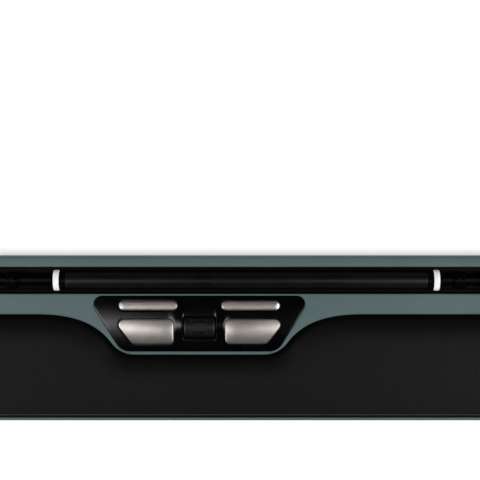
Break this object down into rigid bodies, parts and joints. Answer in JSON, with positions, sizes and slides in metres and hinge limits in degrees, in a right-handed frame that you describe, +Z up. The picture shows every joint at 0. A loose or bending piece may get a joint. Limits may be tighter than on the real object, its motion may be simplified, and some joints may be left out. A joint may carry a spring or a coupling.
{
  "type": "roller-bar mouse",
  "caption": "Long low desk pointing device: a sliding, turning roller bar behind click buttons and a scroll wheel, with a padded wrist rest along the front.",
  "frame": {"origin": "middle of the footprint, on the plane of the feet", "axes": "+X along the bar to the user's right, +Y away from the user, +Z up"},
  "size_m": [0.48, 0.107, 0.0203],
  "materials": {
    "shell_teal": "satin slate-teal moulded plastic",
    "black_plastic": "matte black moulded plastic",
    "black_gloss": "polished black plastic",
    "pad_leather": "soft black leatherette over foam",
    "soft_rubber": "dark grey moulded rubber",
    "grip_rubber": "matte black grip rubber",
    "button_metal": "satin champagne metal",
    "ring_white": "off-white satin plastic",
    "core_aluminium": "drawn tube",
    "bright_steel": "plated steel",
    "board_green": "solder-masked board",
    "chip_black": "moulded package",
    "lens_clear": "clear lens",
    "ribbon_grey": "flat flexible cable"
  },
  "bodies": {
    "housing": {"bottom_tray": "shell_teal", "top_cover": "shell_teal", "slot_liner": "black_plastic", "wrist_rest_plate": "black_plastic", "button_switches": "black_plastic", "wheel_click_switch": "black_plastic", "roller_click_switch": "black_plastic", "control_panel": "black_gloss", "wrist_rest_pad": "pad_leather", "rubber_feet": "soft_rubber", "housing_screws": "bright_steel", "pcb_screws": "bright_steel", "port_screws": "bright_steel", "wheel_springs": "bright_steel", "cradle_springs": "bright_steel", "cradle_clips": "bright_steel", "yoke_clips": "bright_steel", "usb_receptacle": "bright_steel", "main_pcb": "board_green", "sensor_board": "board_green", "port_board": "board_green", "controller_chips": "chip_black", "sensor_chip": "chip_black", "sensor_lens": "lens_clear", "sensor_ribbon": "ribbon_grey", "port_ribbon": "ribbon_grey"},
    "cradle": {"guide_rail": "black_gloss", "rail_end_blocks": "black_gloss", "travel_stops": "black_gloss", "stop_bumpers": "soft_rubber", "roller_cradle": "black_plastic", "cradle_screws": "bright_steel"},
    "carriage": {"carriage_tube": "black_plastic", "carriage_end_caps": "black_gloss"},
    "roller": {"roller_core_tube": "core_aluminium", "roller_sleeve": "grip_rubber", "roller_ring_left": "ring_white", "roller_ring_right": "ring_white", "roller_collars": "black_gloss"},
    "wheel_carrier": {"wheel_yoke": "black_plastic", "wheel_encoder": "board_green"},
    "scroll_wheel": {"scroll_wheel_tyre": "soft_rubber", "scroll_wheel_hub": "black_gloss", "wheel_axle": "bright_steel"},
    "left_button": {"left_click_button": "button_metal"},
    "right_button": {"right_click_button": "button_metal"},
    "left_pill": {"left_pill_button": "button_metal"},
    "right_pill": {"right_pill_button": "button_metal"}
  },
  "joints": [
    {"name": "roller_press", "type": "slide", "parent": "housing", "child": "cradle", "axis": [0, 0, -1], "range_m": [0, 0.0007], "stiffness_N_per_m": 600, "springref_m": -0.002, "deforming": ["cradle_springs"]},
    {"name": "roller_slide", "type": "slide", "parent": "cradle", "child": "carriage", "axis": [1, 0, 0], "range_m": [-0.0207, 0.0073]},
    {"name": "roller_spin", "type": "hinge", "parent": "carriage", "child": "roller", "pos_m": [0.0067, 0.0375, 0.0136], "axis": [1, 0, 0], "continuous": true},
    {"name": "wheel_press", "type": "slide", "parent": "housing", "child": "wheel_carrier", "axis": [0, 0, -1], "range_m": [0, 0.0005], "stiffness_N_per_m": 800, "springref_m": -0.0005, "deforming": ["wheel_springs"]},
    {"name": "wheel_spin", "type": "hinge", "parent": "wheel_carrier", "child": "scroll_wheel", "pos_m": [-0.0235, 0.0077, 0.0118], "axis": [1, 0, 0], "continuous": true},
    {"name": "left_click", "type": "slide", "parent": "housing", "child": "left_button", "axis": [0, 0, -1], "range_m": [0, 0.0007], "stiffness_N_per_m": 700, "springref_m": -0.0004},
    {"name": "right_click", "type": "slide", "parent": "housing", "child": "right_button", "axis": [0, 0, -1], "range_m": [0, 0.0007], "stiffness_N_per_m": 700, "springref_m": -0.0004},
    {"name": "left_pill_click", "type": "slide", "parent": "housing", "child": "left_pill", "axis": [0, 0, -1], "range_m": [0, 0.0007], "stiffness_N_per_m": 600, "springref_m": -0.0004},
    {"name": "right_pill_click", "type": "slide", "parent": "housing", "child": "right_pill", "axis": [0, 0, -1], "range_m": [0, 0.0007], "stiffness_N_per_m": 600, "springref_m": -0.0004}
  ]
}
